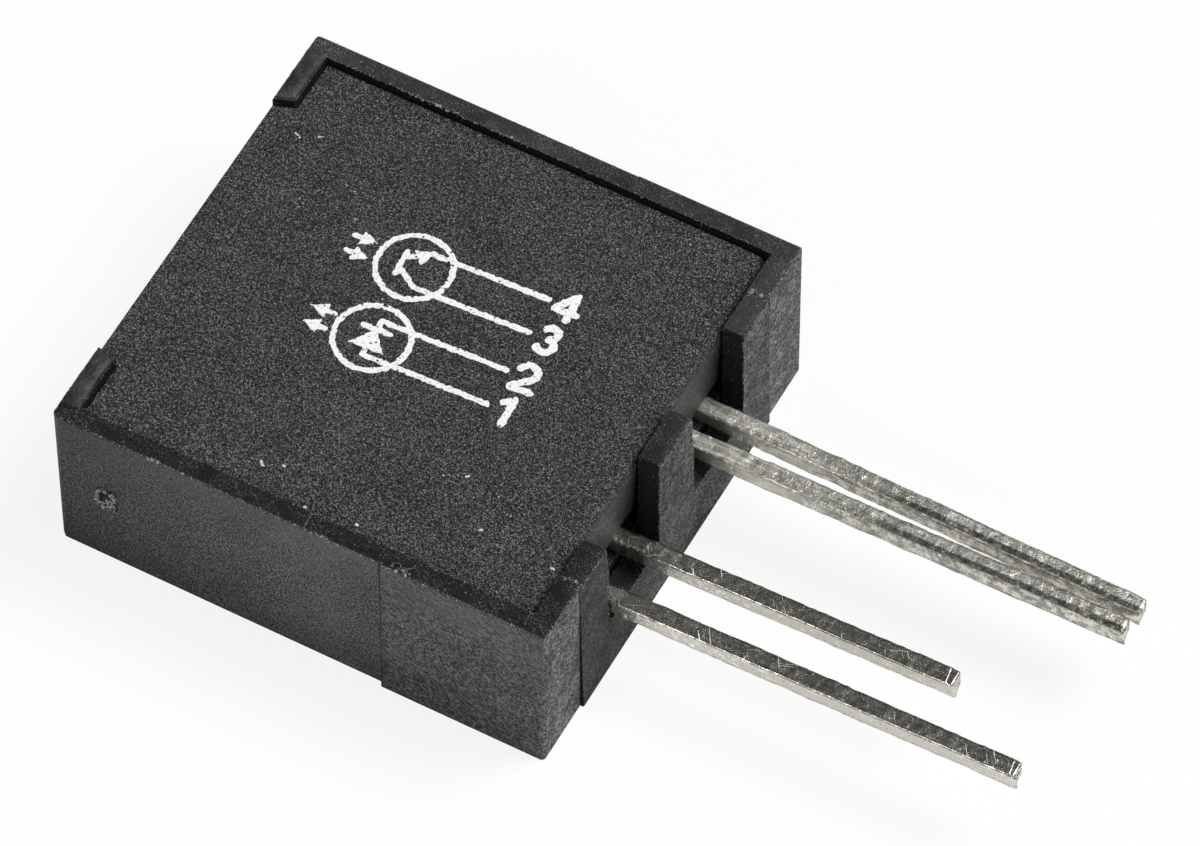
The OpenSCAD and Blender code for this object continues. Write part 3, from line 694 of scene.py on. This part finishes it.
# torn bits that the mould and the trimming left: from, to, how many, half size, how far they stray
crumbRuns = [
    ((-6.72, -6.555, 5.29), (2.3, -6.555, 5.29), 120, 0.016, 0.016),
    ((2.3, -6.575, 5.29), (6.72, -6.575, 5.29), 55, 0.016, 0.016),
    ((-4.20, -6.56, 5.29), (-3.75, -6.56, 5.29), 14, 0.034, 0.030),
    ((0.40, -6.56, 5.28), (0.95, -6.56, 5.28), 16, 0.032, 0.030),
    ((2.60, -6.50, 5.29), (3.15, -6.50, 5.29), 16, 0.032, 0.045),
    ((-6.72, 6.555, 5.28), (6.72, 6.56, 5.28), 45, 0.013, 0.016),
    ((-6.30, 6.03, 5.29), (6.20, 6.03, 5.29), 70, 0.015, 0.020),
    ((-4.60, 6.04, 5.29), (-0.40, 6.04, 5.29), 60, 0.024, 0.022),
    ((-6.20, -6.03, 5.28), (6.20, -6.03, 5.28), 60, 0.016, 0.024),
    ((6.83, 6.45, 5.27), (6.83, 4.85, 5.27), 60, 0.022, 0.022),
    ((6.83, -6.45, 5.27), (6.83, -4.85, 5.27), 40, 0.018, 0.020),
    ((6.28, 4.80, 5.27), (6.82, 4.74, 5.26), 30, 0.034, 0.045),
    ((6.28, -4.78, 5.27), (6.82, -4.74, 5.26), 18, 0.026, 0.035),
    ((6.82, 4.72, 5.12), (6.82, 3.54, 5.12), 34, 0.020, 0.020),
    ((6.86, 3.50, 5.0), (6.91, 3.50, 2.0), 40, 0.020, 0.018),
    ((6.82, 0.78, 5.12), (6.82, -0.78, 5.12), 40, 0.020, 0.022),
    ((6.86, 0.83, 5.0), (6.91, 0.83, 2.0), 30, 0.016, 0.016),
    ((6.86, -0.83, 5.0), (6.91, -0.83, 2.0), 26, 0.016, 0.016),
    ((6.86, -3.50, 5.0), (6.91, -3.50, 2.0), 30, 0.018, 0.018),
    ((6.82, -4.72, 5.12), (6.82, -3.54, 5.12), 30, 0.018, 0.020),
    ((6.90, 0.85, 1.96), (6.90, 3.48, 1.96), 30, 0.018, 0.018),
    ((6.90, -3.48, 1.96), (6.90, -0.85, 1.96), 30, 0.018, 0.018),
    ((-6.83, -6.45, 5.28), (-6.83, -4.35, 5.28), 26, 0.015, 0.018),
    ((-6.83, 6.45, 5.28), (-6.83, 4.35, 5.28), 20, 0.013, 0.016),
    ((-6.68, -5.86, 5.31), (-6.55, -5.70, 5.31), 8, 0.030, 0.050),
]


def crumbs():
    rng = np.random.default_rng(4)
    skin, parts = skinOf("housing"), []
    for start, end, count, size, stray in crumbRuns:
        start, end = np.array(start), np.array(end)
        for _ in range(count):
            at = start + (end - start) * rng.random() + rng.normal(size=3) * stray
            half = size * rng.uniform(0.4, 1.25)
            parts.append(lump(seat(skin, at, half * 0.2), half * rng.uniform(0.6, 1.5, 3), rng))
    # the crumbs are torn plastic; their light cream tone stands in for the glints they catch: painted highlight
    piece("tornCrumbs", *gather(parts), tornLook("tornPlasticGlints", 0.05, (0.46, 0.455, 0.43)), "tray_plastic")


crumbs()


# thin threads of flash that lie on the rim, the ledges and the posts
flashPaths = [
    ([(0.20, -6.56, 5.29), (0.19, -6.40, 5.315), (0.17, -6.22, 5.315), (0.20, -6.08, 5.31), (0.33, -6.00, 5.28)], 0.020),
    ([(2.58, -6.50, 5.30), (2.62, -6.36, 5.315), (2.76, -6.33, 5.315), (2.82, -6.45, 5.31), (2.74, -6.56, 5.28)], 0.022),
    ([(2.90, -6.56, 5.29), (2.95, -6.40, 5.315), (3.06, -6.30, 5.315), (3.10, -6.16, 5.31)], 0.022),
    ([(6.22, 4.86, 5.30), (6.36, 4.80, 5.31), (6.52, 4.79, 5.31), (6.68, 4.73, 5.31), (6.86, 4.76, 5.25)], 0.024),
    ([(6.30, -4.80, 5.29), (6.50, -4.78, 5.30), (6.70, -4.76, 5.30), (6.86, -4.80, 5.24)], 0.018),
    ([(-6.60, 6.45, 5.29), (-6.48, 6.30, 5.31), (-6.36, 6.16, 5.31), (-6.30, 6.02, 5.29)], 0.016),
    ([(-6.20, -6.05, 5.26), (-5.90, -6.00, 5.25), (-5.72, -6.08, 5.28), (-5.50, -6.02, 5.26)], 0.018),
]


def finer(path, steps=4):
    # a polyline with more points, cut along a smooth curve
    path = [np.array(p) for p in path]
    ends = [2 * path[0] - path[1]] + path + [2 * path[-1] - path[-2]]
    out = []
    for a, b, c, d in zip(ends, ends[1:], ends[2:], ends[3:]):
        for t in np.arange(steps) / steps:
            out.append(0.5 * (2 * b + (c - a) * t + (2 * a - 5 * b + 4 * c - d) * t ** 2
                              + (3 * b - a - 3 * c + d) * t ** 3))
    return out + [path[-1]]


def flash():
    rng = np.random.default_rng(8)
    skin = skinOf("housing")
    parts = [strand([seat(skin, at, radius * 0.4) for at in finer(path)], radius, rng) for path, radius in flashPaths]
    piece("rimFlash", *gather(parts), tornLook("flashPlastic", 0.03, (0.22, 0.22, 0.21)), "tray_plastic", sharp=80)


flash()


# the scar in the gate pit on the side: a torn ring with two hollows and a tail
scar = {"x": -5.42, "z": 2.63, "face": -6.568, "radius": 0.33, "step": 0.014}


def gateScar():
    def torn(u, v):
        tail = np.clip((u * 0.55 - v * 0.83 - 0.22) / 0.32, 0, 1)
        away = np.hypot(u - 0.55 * (0.22 + 0.32 * tail), v + 0.83 * (0.22 + 0.32 * tail)) - 0.07 * (1.2 - tail)
        ring = np.hypot(u * 1.04, v * 0.80) - scar["radius"] - grain(u, v, 0.11, 21) * 0.05 - grain(u, v, 0.05, 22) * 0.02
        return -np.minimum(ring, away)

    def relief(u, v):
        r = np.hypot(u, v * 0.8)
        ridge = 0.035 * np.exp(-((r - 0.25) / 0.05) ** 2) * (0.6 + 0.6 * grain(u, v, 0.13, 25))
        hollows = 0.13 * np.exp(-(np.hypot(u + 0.12, v * 0.7 - 0.03) / 0.10) ** 2) + 0.11 * np.exp(-(np.hypot(u - 0.07, v * 0.8 - 0.11) / 0.07) ** 2)
        return np.maximum(ridge - hollows + grain(u, v, 0.06, 23) * 0.036 + grain(u, v, 0.03, 24) * 0.022 + 0.018, -0.10)

    def put(u, v, height):
        return scar["x"] + u, scar["face"] - height, scar["z"] + v

    span = ((-0.42, 0.52), (-0.66, 0.52))
    look = Look("scarPlastic")
    spot = look.place()
    height = scar["face"] - look.parts(spot)[1]
    rag = look.noise(spot, 15, 2, 0.6)
    # the colour follows the height, broken up by noise: painted shade in the hollows and painted light on the raised
    # ring
    tone = look.blend((height + (rag - 0.5) * 0.34).fade(-0.02, 0.09), 0.002, (0.44, 0.44, 0.42))
    skin = look.finish(Base_Color=tone, Roughness=0.5 + rag * 0.2, IOR=1.45, Normal=look.bump(rag, 0.02))
    piece("gateScar", *sheet(torn, span, scar["step"], relief, -0.13, put), skin, "tray_plastic", sharp=70)


gateScar()


# the worn, slightly domed tops of the two corner lips
lipCaps = {"front": -6.82, "back": -6.315, "side": 6.0, "mouthFront": 4.31, "mouthBack": 4.50, "dome": 0.09}


def lipPlastic():
    look = Look("lipPlastic")
    spot = look.place()
    rubbed = look.noise(spot, 1.6, 4, 0.65).fade(0.34, 0.70)
    fine = look.noise(spot, 18, 2, 0.6)
    tone = look.blend(rubbed * (0.4 + fine * 1.2), 0.010, (0.052, 0.052, 0.053))
    return look.finish(Base_Color=tone, Roughness=0.50 - rubbed * 0.10, IOR=1.45, Normal=look.bump(fine, 0.03))


def lipTops():
    c = lipCaps
    mid, half = (c["front"] + c["back"]) / 2, (c["back"] - c["front"]) / 2

    def inside(u, v):
        mouth = c["mouthFront"] + (c["mouthBack"] - c["mouthFront"]) * (u - c["front"]) / (c["back"] - c["front"])
        edge = np.minimum(np.minimum(half - np.abs(u - mid), v - mouth), c["side"] + 0.12 - v)
        return edge + grain(u, v, 0.13, 31) * 0.012 + grain(u, v, 0.05, 32) * 0.006

    def dome(u, v):
        edge = np.clip(inside(u, v) / (half * 0.8), 0, 1)
        fall = np.clip((c["side"] + 0.12 - v) / 0.5, 0, 1)
        return (c["dome"] * np.sqrt(1 - (1 - edge) ** 2) * (0.3 + 0.7 * fall) + grain(u, v, 0.11, 33) * 0.006
                + grain(u, v, 0.05, 34) * 0.003 + 0.003)

    parts = []
    for side in (-1, 1):
        points, faces = sheet(inside, ((c["front"] - 0.03, c["back"] + 0.03), (4.2, 6.15)), 0.02, dome, -0.04,
                              lambda u, v, height: (u, side * v, 5.3 + height))
        parts.append((points, faces if side > 0 else [tuple(reversed(face)) for face in faces]))
    piece("lipTops", *gather(parts), lipPlastic(), "tray_plastic")


lipTops()


# ragged flash that leans a little over the upright edges of the lead slots: edge and way into the slot
slotEdges = ((-3.50, 1), (-0.83, -1), (0.83, 1), (3.50, -1))
slotFlash = {"low": 2.0, "high": 5.06, "reach": 0.035, "ragged": 0.045}


def ragSlots():
    parts = []
    for number, (edge, way) in enumerate(slotEdges):
        def torn(u, v):
            reach = slotFlash["reach"] + grain(v, number, 0.45, 51) * slotFlash["ragged"] + grain(v, number, 0.12, 52) * 0.014
            ends = np.minimum(v - slotFlash["low"], slotFlash["high"] - v)
            return np.minimum(np.minimum(reach - u, u + 0.09), ends)

        def put(u, v, height):
            return 6.85 + 0.09 * (1 - v / 5.3) + height, edge + way * u, v

        points, faces = sheet(torn, ((-0.12, 0.12), (1.96, 5.10)), 0.02, lambda u, v: 0.004 - 0.02 * np.clip(u, 0, 1), -0.05, put)
        parts.append((points, faces if way > 0 else [tuple(reversed(face)) for face in faces]))
    piece("slotFlash", *gather(parts), nodes["housing"].data.materials[0], "tray_plastic")


ragSlots()


# flecks of white paint and dust on the cover: place, two half sizes and how far they turn
flecks = [(-5.81, 3.74, 0.13, 0.035, -20), (-5.30, 3.95, 0.07, 0.025, 30), (-1.71, -5.23, 0.10, 0.04, -35),
          (-1.20, -5.05, 0.04, 0.03, 0), (-0.15, -5.85, 0.05, 0.03, 20), (2.85, -3.20, 0.06, 0.03, 40),
          (3.90, -4.40, 0.05, 0.04, 0), (1.20, -5.70, 0.035, 0.03, 0), (5.95, -4.55, 0.06, 0.035, 10)]


def paintFlecks():
    rng = np.random.default_rng(15)
    skin, parts = skinOf("cover"), []
    for x, y, long, wide, turn in flecks:
        for along in np.linspace(-0.6, 0.6, 3):
            t = math.radians(turn + rng.uniform(-12, 12))
            at = (x + math.cos(t) * long * along, y + math.sin(t) * long * along, 5.075)
            parts.append(lump(seat(skin, at), (wide * rng.uniform(0.8, 1.3), wide * rng.uniform(0.6, 1.0), 0.016), rng, True))
    for _ in range(70):
        at = (rng.uniform(-6.6, 5.9), rng.uniform(-5.9, 5.9), 5.072)
        half = rng.uniform(0.008, 0.022)
        parts.append(lump(seat(skin, at), (half, half * rng.uniform(0.6, 1.4), half * 0.6), rng))
    piece("paintFlecks", *gather(parts), tornLook("fleckPaint", 0.55, (0.9, 0.89, 0.86)), "cover_plastic")


paintFlecks()
print("crumbs, flash, gate scar, lip tops and flecks")
